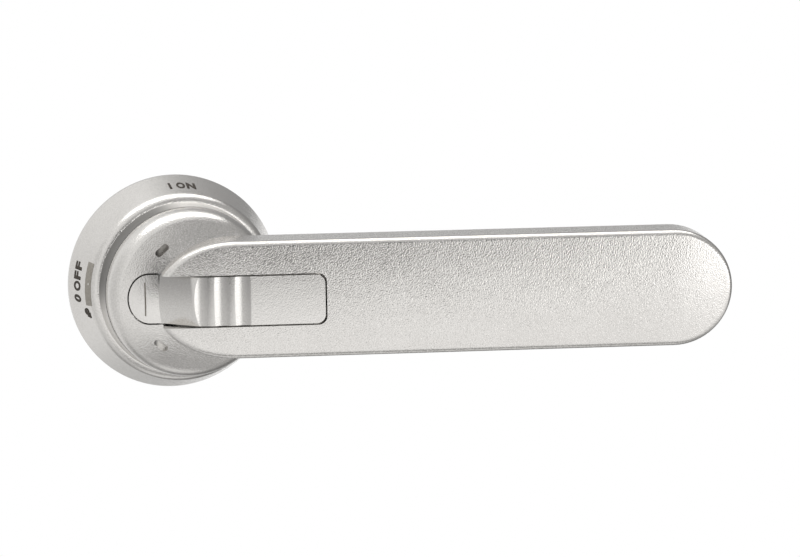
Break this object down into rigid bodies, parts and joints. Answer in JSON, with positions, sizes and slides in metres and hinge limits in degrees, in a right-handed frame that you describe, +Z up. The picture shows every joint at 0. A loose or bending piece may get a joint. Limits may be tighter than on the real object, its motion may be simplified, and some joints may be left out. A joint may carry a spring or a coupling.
{
  "type": "rotary switch handle",
  "caption": "Satin metal door handle of a rotary load-break switch: conical escutcheon, domed hub, leaning flat lever with rounded tip, and a flush padlock tongue.",
  "frame": {"origin": "shaft axis at the door's face, the back of the escutcheon", "axes": "+X along the lever at rest (OFF), +Y into the door along the switch shaft, +Z up"},
  "size_m": [0.2173, 0.0856, 0.0754],
  "materials": {
    "casting": "bead-blasted satin stainless casting",
    "steel": "turned and zinc-plated",
    "brass": "turned bearing bronze",
    "seal": "matt elastomer"
  },
  "bodies": {
    "escutcheon": {"base": "casting", "door_gasket": "seal", "door_inserts": "brass", "bearing_bush": "brass", "thrust_washer": "steel"},
    "lever": {"handle": "casting", "drive_sleeve": "steel", "sleeve_screws": "steel", "catch_plate": "steel", "catch_screws": "steel", "hub_seal": "seal", "stop_pin": "steel", "bolt_guide": "brass", "grip_cover": "casting", "cover_gasket": "seal", "cover_screws": "steel", "tongue_pin": "steel", "bolt_spring": "steel"},
    "tongue": {"lock_tongue": "casting"},
    "bolt": {"lock_bolt": "steel"}
  },
  "joints": [
    {"name": "handle_turn", "type": "hinge", "parent": "escutcheon", "child": "lever", "pos_m": [0, 0, 0], "axis": [0, 1, 0], "range_deg": [0, 90]},
    {"name": "tongue_lift", "type": "hinge", "parent": "lever", "child": "tongue", "pos_m": [-0.012, -0.0324, 0], "axis": [0, 0, -1], "range_deg": [0, 30], "stiffness_Nm_per_rad": 0.15, "springref_deg": -28.65},
    {"name": "bolt_slide", "type": "slide", "parent": "lever", "child": "bolt", "axis": [0, 1, 0], "range_m": [0, 0.00535], "deforming": ["bolt_spring"]}
  ],
  "couplings": [
    {"joint": "bolt_slide", "follows": "tongue_lift", "m_per_rad": 0.0102}
  ]
}
